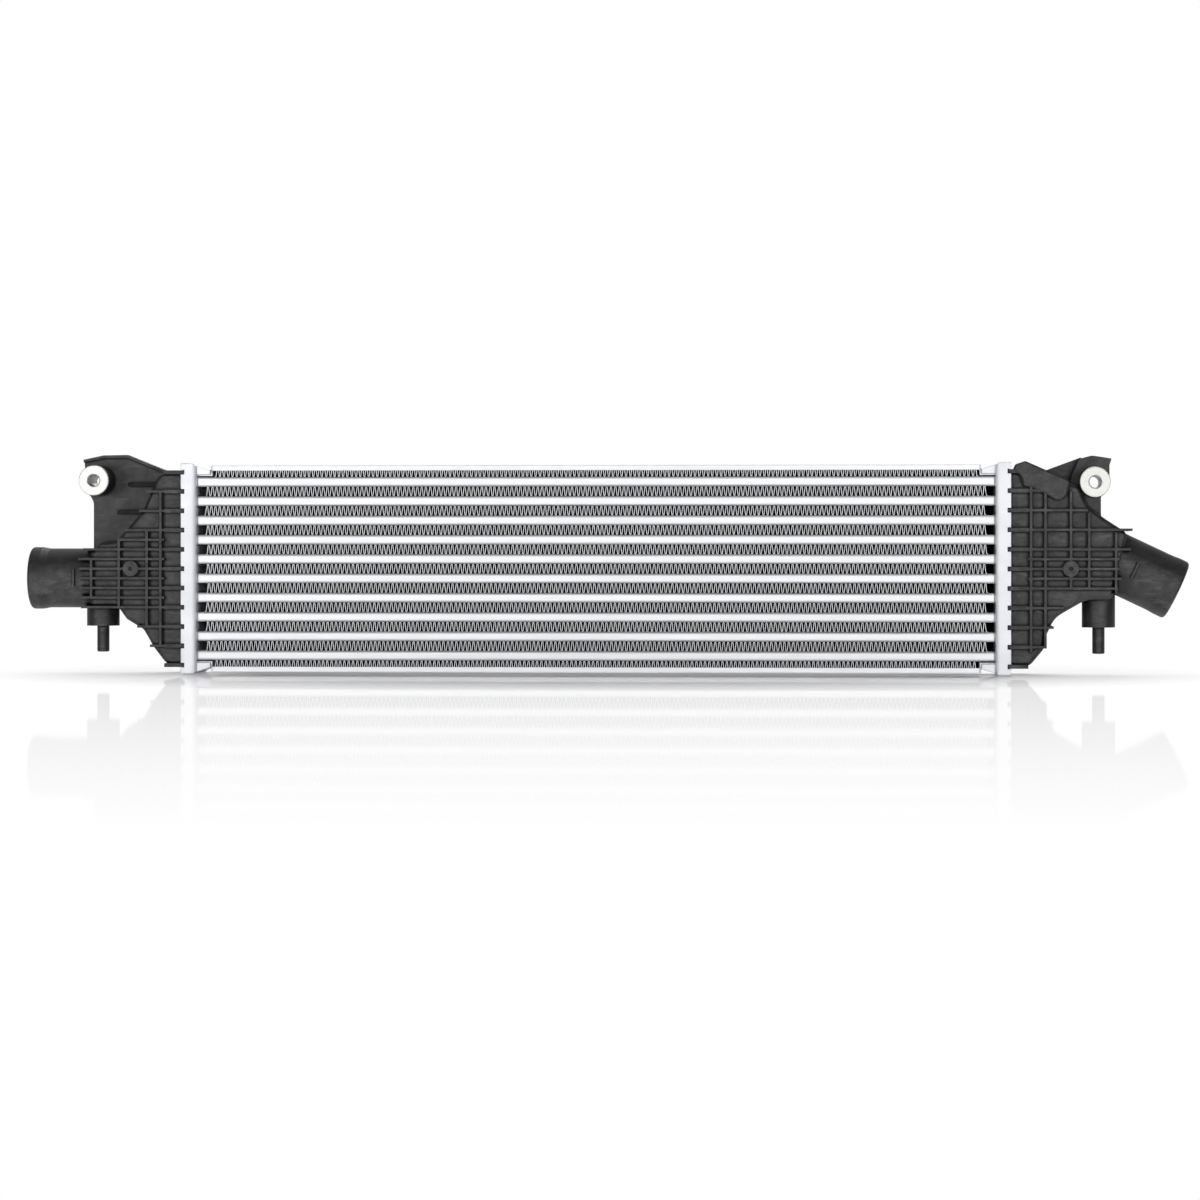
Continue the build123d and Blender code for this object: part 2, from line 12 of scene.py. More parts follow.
import bpy
import numpy as np
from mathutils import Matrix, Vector


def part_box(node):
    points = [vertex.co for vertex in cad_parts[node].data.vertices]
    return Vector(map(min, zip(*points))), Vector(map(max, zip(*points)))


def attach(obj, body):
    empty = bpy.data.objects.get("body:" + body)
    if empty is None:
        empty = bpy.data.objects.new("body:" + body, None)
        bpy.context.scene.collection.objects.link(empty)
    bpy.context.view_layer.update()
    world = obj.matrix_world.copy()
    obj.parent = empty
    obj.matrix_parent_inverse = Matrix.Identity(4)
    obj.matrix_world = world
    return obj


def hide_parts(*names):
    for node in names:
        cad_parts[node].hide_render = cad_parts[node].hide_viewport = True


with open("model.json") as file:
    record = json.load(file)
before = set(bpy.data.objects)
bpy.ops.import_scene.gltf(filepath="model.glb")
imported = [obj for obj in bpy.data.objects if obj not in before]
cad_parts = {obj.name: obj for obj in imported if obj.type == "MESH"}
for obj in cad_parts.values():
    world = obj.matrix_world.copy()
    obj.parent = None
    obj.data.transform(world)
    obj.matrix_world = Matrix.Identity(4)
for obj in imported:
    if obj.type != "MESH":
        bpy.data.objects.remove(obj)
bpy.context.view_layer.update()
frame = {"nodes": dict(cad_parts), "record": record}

MM = 0.001

# Cooling fins
fin_pitch = 3.43 * MM
fin_sheet = 0.42 * MM
fin_bend = 0.42 * MM          # middle radius of each fold
fin_arc_points = 4
fin_wander = 0.16 * MM        # how far a fold strays along the row
fin_row_shift = 0.9 * MM      # how far a whole row may sit to one side
chevron_reach = 12.0 * MM     # from mid depth to where the sheet runs straight
chevron_height = 3.5 * MM     # the sheet swings this far sideways at mid depth
louvre_share = 0.55           # of the height of a leg
louvre_chord = 1.25 * MM
louvre_sheet = 0.11 * MM
louvre_pitch = 1.45 * MM
louvre_count = 4              # near the front, and as many near the back
louvre_inset = 1.9 * MM       # from the face to the middle of the first one
louvre_tilt = math.radians(27)

# Braze fillets round the tube ends
fillet_leg = 1.1 * MM
header_sheet = 2.0 * MM
tube_corner = 2.0 * MM

# Sleeves and bushes
sleeve_flange = 2.2 * MM
sleeve_wall_radius = 6.4 * MM
sleeve_bore_radius = 4.6 * MM
sleeve_edge = 0.5 * MM
sleeve_bore_edge = 0.9 * MM
bush_edge = 1.0 * MM
bush_waist_radius = 9.2 * MM
left_eye_front = 0.0 * MM
right_eye_front = -11.0 * MM
eye_back = 4.6 * MM
turned_steps = 72

# Camera, from the photograph: distance, turn and height, then where the aim falls in it
camera_distance = 3000.0 * MM
camera_turn = math.radians(3.85)
camera_height = 98.1 * MM
camera_aim_x = -9.5 * MM
camera_focal_px = 3750.0
photo_side_px = 1200.0
photo_aim_px = (593.0, 551.0)
sensor_width_mm = 36.0

# Light and floor
world_light = 0.05
room_shine = 0.4              # what shiny surfaces see of the room in front and overhead
floor_reach = 6.0
floor_white = (0.45, 0.80)    # plain white begins and is full here, along a squeezed distance
floor_squeeze = (1.6, 2.0, 1.0)
floor_shine = 0.25
floor_shine_reach = (0.3, 1.7)
lamp_aim = (0.0, 0.0, 0.08)
lamps = {                     # place, side and power
    "front_softbox": ((0.0, -2.4, 0.08), 0.6, 11.0),
    "left_softbox": ((-0.85, -1.2, 0.15), 0.35, 5.2),
    "right_softbox": ((0.85, -1.2, 0.15), 0.35, 5.2),
    "back_softbox": ((0.0, 1.9, 1.25), 1.1, 22.0),
    "top_softbox": ((0.0, 0.7, 1.85), 1.2, 21.0),
}


def outward(points, quads):
    """The same quads, turned over if the volume that they enclose comes out negative.

    The volume is the sum over triangles of corner . (corner x corner) / 6.
    """
    a, b, c, d = (points[quads[:, corner]] for corner in range(4))
    volume = np.einsum("ij,ij->i", a, np.cross(b, c)) + np.einsum("ij,ij->i", a, np.cross(c, d))
    return quads if volume.sum() > 0 else quads[:, ::-1]


def solid(name, points, quads, sharp=40):
    """Mesh object at the origin from an array of points and an array of quads."""
    mesh = bpy.data.meshes.new(name)
    mesh.vertices.add(len(points))
    mesh.vertices.foreach_set("co", points.astype(np.float32).ravel())
    mesh.loops.add(quads.size)
    mesh.loops.foreach_set("vertex_index", quads.astype(np.int32).ravel())
    mesh.polygons.add(len(quads))
    mesh.polygons.foreach_set("loop_start", np.arange(0, quads.size, 4, dtype=np.int32))
    mesh.update(calc_edges=True)
    mesh.shade_smooth()
    mesh.set_sharp_from_angle(angle=math.radians(sharp))
    piece = bpy.data.objects.new(name, mesh)
    bpy.context.scene.collection.objects.link(piece)
    return piece


def grid_quads(rows, columns, wrap_rows=False, wrap_columns=False):
    """Quads between neighbours of a grid of points, which may close on itself each way."""
    i = np.arange(rows if wrap_rows else rows - 1)[:, None]
    j = np.arange(columns if wrap_columns else columns - 1)[None, :]
    near = i * columns
    far = (i + 1) % rows * columns
    right = (j + 1) % columns
    return np.stack([near + j, near + right, far + right, far + j], -1).reshape(-1, 4)


# Cooling fins

def folded_lines(length, height, stray):
    """Upper, middle and lower line of a sheet folded into waves, as fold x point x (x, z).

    Fold k is centred at x = k * half pitch, low and high by turns. Its points lie on an arc
    of the bend's radius, plus or minus half the sheet, from angle pi - lean to lean. The legs
    are the straight lines from one arc to the next.
    """
    waves = round(length / fin_pitch)
    half_pitch = (length - 2 * fin_bend - fin_sheet) / (2 * waves)
    reach = height / 2 - fin_sheet / 2 - fin_bend
    centre_gap = math.hypot(half_pitch, 2 * reach)
    lean = math.atan2(half_pitch, 2 * reach) - math.asin(2 * fin_bend / centre_gap)
    fold = np.arange(2 * waves + 1)
    up = np.where(fold % 2 == 1, 1.0, -1.0)[:, None]
    middle = ((fold - waves) * half_pitch + stray.uniform(-fin_wander, fin_wander, fold.size))[:, None]
    angle = np.linspace(math.pi - lean, lean, fin_arc_points)
    lines = []
    for side in (1, 0, -1):
        radius = fin_bend + side * up * fin_sheet / 2
        lines.append(np.stack([middle + radius * np.cos(angle), up * (reach + radius * np.sin(angle))], -1))
    return lines


def chevron(y, middle):
    """Sideways swing of the sheet: a straight-sided peak at mid depth, and none near the faces."""
    return chevron_height * np.clip(1 - np.abs(y - middle) / chevron_reach, 0, None)


def folded_sheet(lines, low, high):
    """Points and quads of the folded sheet, carried from the front face to the back.

    Point (i, j) is ring point i, which runs along the upper line and back along the lower,
    at depth j, shifted sideways by the chevron.
    """
    upper, _, lower = (line.reshape(-1, 2) for line in lines)
    ring = np.concatenate([upper, lower[::-1]])
    middle = (low + high) / 2
    depth = np.array([low.y, middle.y - chevron_reach, middle.y, middle.y + chevron_reach, high.y])
    count = len(ring)
    points = np.empty((depth.size, count, 3))
    points[..., 0] = middle.x + ring[:, 0] + chevron(depth, middle.y)[:, None]
    points[..., 1] = depth[:, None]
    points[..., 2] = middle.z + ring[:, 1]
    walls = grid_quads(depth.size, count, wrap_columns=True)
    i = np.arange(count // 2 - 1)
    cap = np.stack([i, i + 1, count - 2 - i, count - 1 - i], -1)
    caps = np.concatenate([cap, cap[:, ::-1] + (depth.size - 1) * count])
    return points.reshape(-1, 3), np.concatenate([walls, caps])


def louvres(middle_line, low, high):
    """Points and quads of thin blades that cross each leg of the folded sheet.

    A blade is centre + a * along + b * chord + c * face, with a, b and c at plus or minus
    half its sizes. The chord turns away from the depth by the tilt, one way near the front
    and the other way near the back.
    """
    middle = (low + high) / 2
    start = middle_line[:-1, -1]
    leg = middle_line[1:, 0] - start
    along = np.stack([leg[:, 0], np.zeros(len(leg)), leg[:, 1]], -1)
    foot = np.stack([start[:, 0] + middle.x, np.zeros(len(leg)), start[:, 1] + middle.z], -1)
    inset = louvre_inset + louvre_pitch * np.arange(louvre_count)
    depth = np.concatenate([low.y + inset, high.y - inset])
    turn = np.repeat([louvre_tilt, -louvre_tilt], louvre_count)
    chord = np.stack([np.sin(turn), np.cos(turn), np.zeros(turn.size)], -1) * louvre_chord / 2
    half = along * louvre_share / 2
    face = np.cross(half[:, None], chord[None])
    face *= louvre_sheet / 2 / np.linalg.norm(face, axis=-1, keepdims=True)
    centre = (foot + along / 2)[:, None] + depth[None, :, None] * np.array([0, 1, 0])
    signs = np.array([(a, b, c) for a in (-1, 1) for b in (-1, 1) for c in (-1, 1)], float)
    points = (
        centre[:, :, None]
        + signs[:, 0, None] * half[:, None, None]
        + signs[:, 1, None] * chord[None, :, None]
        + signs[:, 2, None] * face[:, :, None]
    ).reshape(-1, 3)
    box = np.array([(0, 1, 3, 2), (4, 6, 7, 5), (0, 4, 5, 1), (2, 3, 7, 6), (0, 2, 6, 4), (1, 5, 7, 3)])
    box = outward(points[:8], box)
    return points, (np.arange(0, len(points), 8)[:, None, None] + box).reshape(-1, 4)


def make_fins():
    """Folded and louvred strip in place of each plain cooling fin."""
    for number, node in enumerate(sorted(name for name in frame["nodes"] if name.startswith("fin_"))):
        stray = np.random.default_rng(number)
        low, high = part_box(node)
        lines = folded_lines(high.x - low.x, high.z - low.z, stray)
        shift = stray.uniform(-fin_row_shift, fin_row_shift)
        lines = [line + np.array([shift, 0]) for line in lines]
        sheet_points, sheet_quads = folded_sheet(lines, low, high)
        blade_points, blade_quads = louvres(lines[1], low, high)
        points = np.concatenate([sheet_points, blade_points])
        sheet_quads = outward(sheet_points, sheet_quads)
        quads = np.concatenate([sheet_quads, blade_quads + len(sheet_points)])
        strip = solid(f"louvred_{node}", points, quads)
        strip.data.materials.append(material["fin_aluminium"])
        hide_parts(node)
        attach(strip, "root")


# Braze fillets

def rounded_ring(width, height, corner, out, steps=5):
    """Closed line round a rectangle with rounded corners, moved out by a distance.

    Each corner is an arc about its own centre, of the corner's radius plus that distance.
    """
    quarter = np.linspace(0, math.pi / 2, steps)
    angle = np.concatenate([quarter + turn * math.pi / 2 for turn in range(4)])
    side_y = np.repeat([1, -1, -1, 1], steps) * (width / 2 - corner)
    side_z = np.repeat([1, 1, -1, -1], steps) * (height / 2 - corner)
    return np.stack([side_y + (corner + out) * np.cos(angle), side_z + (corner + out) * np.sin(angle)], -1)


def make_braze_fillets(side):
    """Fillet of braze where each tube enters a header.

    Its section runs from the header's web to the tube's skin along a quarter circle that
    bends inwards, and back through the corner between them.
    """
    name = "left" if side < 0 else "right"
    gasket_low, gasket_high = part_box(f"{name}_gasket")
    web = gasket_high.x + header_sheet if side < 0 else gasket_low.x - header_sheet
    sweep = np.linspace(0, math.pi / 2, 5)
    out = np.append(fillet_leg * (1 - np.sin(sweep)), 0.0)
    off = np.append(fillet_leg * (1 - np.cos(sweep)), 0.0)
    all_points = []
    all_quads = []
    for node in sorted(name for name in frame["nodes"] if name.startswith("tube_")):
        low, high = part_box(node)
        middle = (low + high) / 2
        rings = [rounded_ring(high.y - low.y, high.z - low.z, tube_corner, step) for step in out]
        points = np.empty((len(out), len(rings[0]), 3))
        points[..., 0] = web - side * off[:, None]
        points[..., 1] = middle.y + np.array(rings)[..., 0]
        points[..., 2] = middle.z + np.array(rings)[..., 1]
        points = points.reshape(-1, 3)
        quads = outward(points, grid_quads(len(out), len(rings[0]), True, True))
        all_quads.append(quads + sum(len(part) for part in all_points))
        all_points.append(points)
    fillets = solid(f"{name}_braze_fillets", np.concatenate(all_points), np.concatenate(all_quads), 60)
    fillets.data.materials.append(material["brazed_aluminium"])
    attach(fillets, "root")


# Sleeves and bushes

def turned(name, node, profile, finish):
    """Solid of revolution about a level axis from front to back, in place of a CAD node.

    Point (i, j) is centre + (radius i * sin angle j, depth i, radius i * cos angle j). The
    profile is a closed line of (depth, radius).
    """
    low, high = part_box(node)
    centre = (low + high) / 2
    depth, radius = np.array(profile).T
    angle = np.arange(turned_steps) * 2 * math.pi / turned_steps
    points = np.empty((len(profile), turned_steps, 3))
    points[..., 0] = centre.x + radius[:, None] * np.sin(angle)
    points[..., 1] = depth[:, None]
    points[..., 2] = centre.z + radius[:, None] * np.cos(angle)
    points = points.reshape(-1, 3)
    quads = outward(points, grid_quads(len(profile), turned_steps, True, True))
    piece = solid(name, points, quads, 30)
    piece.data.materials.append(material[finish])
    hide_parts(node)
    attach(piece, "root")


def soft_corner(depth, radius, depth_in, radius_in, size):
    """Four points of a quarter arc that rounds a corner of a profile off.

    The corner lies at (depth, radius); the two signs say which way the material lies.
    """
    angle = np.linspace(0, math.pi / 2, 4)
    return [
        (depth + depth_in * size * (1 - math.sin(a)), radius + radius_in * size * (1 - math.cos(a)))
        for a in angle
    ]


def make_sleeve(side):
    """Turned sleeve: flange, wall and bore, with bevelled edges."""
    node = f"{side}_sleeve"
    low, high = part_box(node)
    flange_radius = (high.x - low.x) / 2
    front, back = low.y, high.y
    edge = sleeve_edge
    profile = [
        (front, sleeve_bore_radius + sleeve_bore_edge), (front, flange_radius - edge),
        (front + edge, flange_radius), (front + sleeve_flange - edge / 2, flange_radius),
        (front + sleeve_flange, flange_radius - edge / 2), (front + sleeve_flange, sleeve_wall_radius),
        (back - edge, sleeve_wall_radius), (back, sleeve_wall_radius - edge),
        (back, sleeve_bore_radius + edge), (back - edge, sleeve_bore_radius),
        (front + sleeve_bore_edge, sleeve_bore_radius),
    ]
    turned(f"{side}_turned_sleeve", node, profile, "zinc_steel")


def make_bush(side, eye_front):
    """Moulded bush: a collar with soft edges, a waist in its ring and a lip behind it."""
    node = f"{side}_bush"
    low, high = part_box(node)
    collar = (high.x - low.x) / 2
    profile = [(low.y, sleeve_wall_radius)]
    profile += soft_corner(low.y, collar, 1, -1, bush_edge)[::-1]
    profile += [(eye_front - bush_edge / 2, collar), (eye_front, collar - bush_edge / 2)]
    profile += [(eye_front, bush_waist_radius), (eye_back, bush_waist_radius)]
    profile += [(eye_back, collar - bush_edge), (eye_back + bush_edge, collar)]
    profile += [(high.y - bush_edge, collar), (high.y, collar - bush_edge), (high.y, sleeve_wall_radius)]
    turned(f"{side}_moulded_bush", node, profile, "bush_rubber")


# Finishes

class Tree:
    """Short calls that add shader nodes to one tree and join them."""

    def __init__(self, tree):
        self.nodes = tree.nodes
        self.links = tree.links

    def add(self, kind, inputs=None, **settings):
        node = self.nodes.new(kind)
        for name, value in settings.items():
            setattr(node, name, value)
        for name, value in (inputs or {}).items():
            self.put(node.inputs[name], value)
        return node

    def put(self, socket, value):
        if isinstance(value, bpy.types.NodeSocket):
            self.links.new(value, socket)
        else:
            socket.default_value = value

    def math(self, operation, first, second=0.0, clamp=False):
        node = self.add("ShaderNodeMath", {0: first, 1: second}, operation=operation, use_clamp=clamp)
        return node.outputs[0]

    def blend(self, share, first, second):
        node = self.add("ShaderNodeMix", {0: share, 6: first, 7: second}, data_type="RGBA")
        return node.outputs[2]

    def span(self, value, low, high, to_low=0.0, to_high=1.0):
        node = self.add(
            "ShaderNodeMapRange",
            {"Value": value, "From Min": low, "From Max": high, "To Min": to_low, "To Max": to_high},
        )
        return node.outputs[0]

    def place(self):
        return self.add("ShaderNodeTexCoord").outputs["Object"]

    def stretch(self, vector, scale):
        return self.add("ShaderNodeMapping", {"Vector": vector, "Scale": scale}).outputs[0]

    def length(self, vector):
        return self.add("ShaderNodeVectorMath", {0: vector}, operation="LENGTH").outputs["Value"]

    def axis(self, vector, letter):
        return self.add("ShaderNodeSeparateXYZ", {0: vector}).outputs[letter]

    def normal(self):
        return self.add("ShaderNodeNewGeometry").outputs["Normal"]

    def noise(self, vector, scale, detail=3.0, roughness=0.55):
        values = {"Vector": vector, "Scale": scale, "Detail": detail, "Roughness": roughness}
        return self.add("ShaderNodeTexNoise", values).outputs["Fac"]


def new_group(name, inputs, outputs):
    """Empty shader node group: the calls for its tree, what it is given and what it puts out."""
    group = bpy.data.node_groups.new(name, "ShaderNodeTree")
    for label, value in inputs.items():
        socket = group.interface.new_socket(label, in_out="INPUT", socket_type="NodeSocketFloat")
        socket.default_value = value
    for label, kind in outputs.items():
        group.interface.new_socket(label, in_out="OUTPUT", socket_type=kind)
    tree = Tree(group)
    return tree, tree.add("NodeGroupInput").outputs, tree.add("NodeGroupOutput").inputs


def make_wear_and_painted_light_edge():
    """Group that finds the edges of a piece: 1 on an edge, broken up, and 0 on its faces. Its mask carries
    edge wear and painted light on edges.
    """
    tree, given, result = new_group(
        "wear_and_painted_light_edge", {"Radius": 0.0006, "Breakup": 400.0},
        {"Mask": "NodeSocketFloat", "Normal": "NodeSocketVector"},
    )
    rounded = tree.add("ShaderNodeBevel", {"Radius": given["Radius"]}, samples=6).outputs[0]
    match = tree.add("ShaderNodeVectorMath", {0: rounded, 1: tree.normal()}, operation="DOT_PRODUCT")
    edge = tree.span(match.outputs["Value"], 0.995, 0.80)
    breakup = tree.span(tree.noise(tree.place(), given["Breakup"], 4.0), 0.3, 0.62)
    tree.put(result["Mask"], tree.math("MULTIPLY", edge, breakup, clamp=True))
    tree.put(result["Normal"], rounded)


def make_painted_corner_shade():
    """Group for painted shade: 1 deep in a corner, where shade falls, and a share of that on
    faces that look up or sideways, painted darker as if unlit."""
    tree, given, result = new_group(
        "painted_corner_shade", {"Reach": 0.005, "Steep Share": 0.0}, {"Mask": "NodeSocketFloat"}
    )
    # Painted shade: darker deep in corners and creases.
    hollow = tree.add("ShaderNodeAmbientOcclusion", {"Distance": given["Reach"]}, samples=8)
    corner = tree.span(hollow.outputs["AO"], 0.90, 0.62)
    normal = tree.normal()
    # Painted shade: faces that look up or sideways are darkened.
    sideways = tree.span(tree.math("ABSOLUTE", tree.axis(normal, "Y")), 0.985, 0.86)
    not_under = tree.span(tree.axis(normal, "Z"), -0.45, -0.1)
    steep = tree.math("MULTIPLY", tree.math("MULTIPLY", sideways, not_under), given["Steep Share"])
    tree.put(result["Mask"], tree.math("MAXIMUM", corner, steep))


def make_clouded_grain():
    """Group of soft clouds and fine grain, both 0 to 1 over the surface."""
    tree, given, result = new_group(
        "clouded_grain", {"Cloud Scale": 60.0, "Grain Scale": 900.0},
        {"Cloud": "NodeSocketFloat", "Grain": "NodeSocketFloat"},
    )
    place = tree.place()
    tree.put(result["Cloud"], tree.span(tree.noise(place, given["Cloud Scale"], 5.0, 0.6), 0.3, 0.7))
    tree.put(result["Grain"], tree.noise(place, given["Grain Scale"], 2.0, 0.6))


def new_material(name):
    """Material with its Principled shader, and the short calls for its tree."""
    made = bpy.data.materials.new(name)
    made.use_nodes = True
    material[name] = made
    tree = Tree(made.node_tree)
    return tree, made.node_tree.nodes["Principled BSDF"].inputs


def use_group(tree, name, **values):
    """Place a shared group in a material with its own values."""
    node = tree.add("ShaderNodeGroup", node_tree=bpy.data.node_groups[name])
    for label, value in values.items():
        node.inputs[label.replace("_", " ")].default_value = value
    return node.outputs


def bump(tree, height, strength, distance, normal=None):
    """Normal that follows a height."""
    values = {"Height": height, "Strength": strength, "Distance": distance}
    if normal is not None:
        values["Normal"] = normal
    return tree.add("ShaderNodeBump", values).outputs[0]


def make_brazed_aluminium():
    """Bright rolled sheet with soft streaks along it and dull clouds left by the braze; its edges, corners
    and faces that look up or sideways get painted shade, and the header's front face is darker.
    """
    tree, shader = new_material("brazed_aluminium")
    edge = use_group(tree, "wear_and_painted_light_edge", Radius=0.0009, Breakup=120.0)
    grain = use_group(tree, "clouded_grain", Cloud_Scale=45.0, Grain_Scale=1500.0)
    shade_mask = use_group(tree, "painted_corner_shade", Reach=0.002, Steep_Share=0.2)["Mask"]
    streak = tree.noise(tree.stretch(tree.place(), (12.0, 260.0, 260.0)), 1.0, 4.0, 0.6)
    dull = tree.blend(grain["Cloud"], (0.86, 0.87, 0.90, 1), (0.93, 0.935, 0.95, 1))
    streaked = tree.blend(tree.span(streak, 0.35, 0.7, 0.0, 0.35), dull, (0.78, 0.795, 0.83, 1))
    # The header's front face is made darker than the tubes.
    depth = tree.math("ABSOLUTE", tree.axis(tree.place(), "Y"))
    on_header = tree.span(depth, 26.2 * MM, 27.5 * MM, 0.0, 0.7)
    header_darkened = tree.blend(on_header, streaked, (0.70, 0.715, 0.75, 1))
    # Painted shade: edges are darkened.
    rounded = tree.blend(tree.math("MULTIPLY", edge["Mask"], 0.6), header_darkened, (0.28, 0.295, 0.33, 1))
    # Painted shade in corners and on faces that look up or sideways.
    corner_shaded = tree.blend(tree.math("MULTIPLY", shade_mask, 0.5), rounded, (0.22, 0.23, 0.27, 1))
    tree.put(shader["Base Color"], corner_shaded)
    tree.put(shader["Roughness"], tree.span(tree.math("ADD", grain["Cloud"], streak), 0.4, 1.6, 0.45, 0.62))
    streak_height = tree.math("MULTIPLY", streak, 0.6)
    height = tree.math("ADD", streak_height, tree.math("MULTIPLY", grain["Grain"], 0.4))
    tree.put(shader["Normal"], bump(tree, height, 0.18, 0.0002, edge["Normal"]))
    shader["Metallic"].default_value = 0.5


def make_fin_aluminium():
    """Thin rolled strip: bright at its cut edges, duller deep between the tubes, and painted near black
    there as shade.
    """
    tree, shader = new_material("fin_aluminium")
    grain = use_group(tree, "clouded_grain", Cloud_Scale=220.0, Grain_Scale=2500.0)
    depth = tree.math("ABSOLUTE", tree.axis(tree.place(), "Y"))
    # Painted shade: a little way in from the front and back faces, the sheet is painted near black.
    inside = tree.span(depth, 24.6 * MM, 23.9 * MM)
    face = tree.blend(grain["Cloud"], (0.92, 0.93, 0.96, 1), (0.97, 0.98, 1.0, 1))
    deep = tree.blend(grain["Cloud"], (0.006, 0.006, 0.009, 1), (0.014, 0.014, 0.020, 1))
    tree.put(shader["Base Color"], tree.blend(inside, face, deep))
    satin = tree.span(grain["Cloud"], 0.0, 1.0, 0.38, 0.55)
    tree.put(shader["Roughness"], tree.math("MAXIMUM", satin, tree.math("MULTIPLY", inside, 0.95)))
    tree.put(shader["Normal"], bump(tree, grain["Grain"], 0.15, 0.0001))
    shader["Metallic"].default_value = 0.2
    shader["Specular IOR Level"].default_value = 0.1


def make_tank_nylon():
    """Glass-filled black moulding: grey clouds and flow marks, fine grain, pale edges that are partly wear
    and partly painted highlight, and painted shade in corners and on faces that look up or sideways.
    """
    tree, shader = new_material("tank_nylon")
    edge = use_group(tree, "wear_and_painted_light_edge", Radius=0.0007, Breakup=260.0)
    grain = use_group(tree, "clouded_grain", Cloud_Scale=95.0, Grain_Scale=1300.0)
    place = tree.place()
    flow = tree.noise(tree.stretch(place, (60.0, 60.0, 160.0)), 1.0, 6.0, 0.65)
    body = tree.blend(grain["Cloud"], (0.036, 0.036, 0.0365, 1), (0.080, 0.080, 0.081, 1))
    marked = tree.blend(tree.span(flow, 0.50, 0.72, 0.0, 0.7), body, (0.15, 0.15, 0.153, 1))
    speck = tree.span(tree.noise(place, 1600.0, 1.0), 0.62, 0.72, 0.0, 0.35)
    specked = tree.blend(speck, marked, (0.13, 0.13, 0.134, 1))
    # Pale edges: partly wear, partly painted highlight.
    edge_wear_and_light = tree.math("MULTIPLY", edge["Mask"], 0.25)
    rubbed_and_highlit = tree.blend(edge_wear_and_light, specked, (0.17, 0.17, 0.174, 1))
    shade_mask = use_group(tree, "painted_corner_shade", Reach=0.0030, Steep_Share=0.7)["Mask"]
    # Painted shade: near black in corners and creases, and on faces that look up or sideways.
    tree.put(shader["Base Color"], tree.blend(shade_mask, rubbed_and_highlit, (0.003, 0.003, 0.0033, 1)))
    shader["Specular IOR Level"].default_value = 0.2
    tree.put(shader["Roughness"], tree.span(flow, 0.3, 0.7, 0.40, 0.62))
    height = tree.math("ADD", grain["Grain"], tree.math("MULTIPLY", flow, 0.8))
    tree.put(shader["Normal"], bump(tree, height, 0.25, 0.0002, edge["Normal"]))


def make_rubber(name, tone, roughness):
    """Dull rubber with a faint bloom in clouds."""
    tree, shader = new_material(name)
    grain = use_group(tree, "clouded_grain", Cloud_Scale=150.0, Grain_Scale=1800.0)
    pale = tuple(2.2 * channel for channel in tone)
    tree.put(shader["Base Color"], tree.blend(grain["Cloud"], (*tone, 1), (*pale, 1)))
    tree.put(shader["Roughness"], tree.span(grain["Cloud"], 0.0, 1.0, roughness - 0.08, roughness + 0.08))
    tree.put(shader["Normal"], bump(tree, grain["Grain"], 0.25, 0.0002))
    shader["Specular IOR Level"].default_value = 0.2


def make_zinc_steel():
    """Zinc-plated turned steel: fine rings about each bolt hole under a faint yellow cast, painted shade
    inside each bore, and darker edges, partly wear and partly painted shade.
    """
    tree, shader = new_material("zinc_steel")
    edge = use_group(tree, "wear_and_painted_light_edge", Radius=0.0004, Breakup=500.0)
    grain = use_group(tree, "clouded_grain", Cloud_Scale=180.0, Grain_Scale=1600.0)
    place = tree.place()
    ring_heights = []
    bore_shades = []
    for side in ("left", "right"):
        low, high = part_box(f"{side}_sleeve")
        middle = (low + high) / 2
        to_axis = {"Vector": place, "Location": (-middle.x, 0.0, -middle.z), "Scale": (1.0, 0.0, 1.0)}
        distance = tree.length(tree.add("ShaderNodeMapping", to_axis).outputs[0])
        near = tree.span(distance, 30.0 * MM, 28.0 * MM)
        wall = sleeve_bore_radius + 0.2 * MM
        # Painted shade on the bore's inner wall.
        bore_shades.append(tree.span(distance, wall, wall + 0.2 * MM, 1.0, 0.0))
        ripple = {"W": distance, "Scale": 2600.0, "Detail": 3.0}
        rings = tree.add("ShaderNodeTexNoise", ripple, noise_dimensions="1D").outputs["Fac"]
        ring_heights.append(tree.math("MULTIPLY", rings, near))
    rings = tree.math("ADD", *ring_heights)
    plate = tree.blend(grain["Cloud"], (0.62, 0.62, 0.585, 1), (0.72, 0.72, 0.68, 1))
    # Darker edges: partly wear, partly painted shade.
    edge_wear_and_light = tree.blend(edge["Mask"], plate, (0.42, 0.42, 0.40, 1))
    tree.put(shader["Base Color"], tree.blend(tree.math("MAXIMUM", *bore_shades), edge_wear_and_light, (0.22, 0.22, 0.21, 1)))
    tree.put(shader["Roughness"], tree.span(grain["Cloud"], 0.0, 1.0, 0.30, 0.46))
    height = tree.math("ADD", rings, tree.math("MULTIPLY", grain["Grain"], 0.3))
    tree.put(shader["Normal"], bump(tree, height, 0.2, 0.0001, edge["Normal"]))
    shader["Metallic"].default_value = 0.35


# The place where it stands

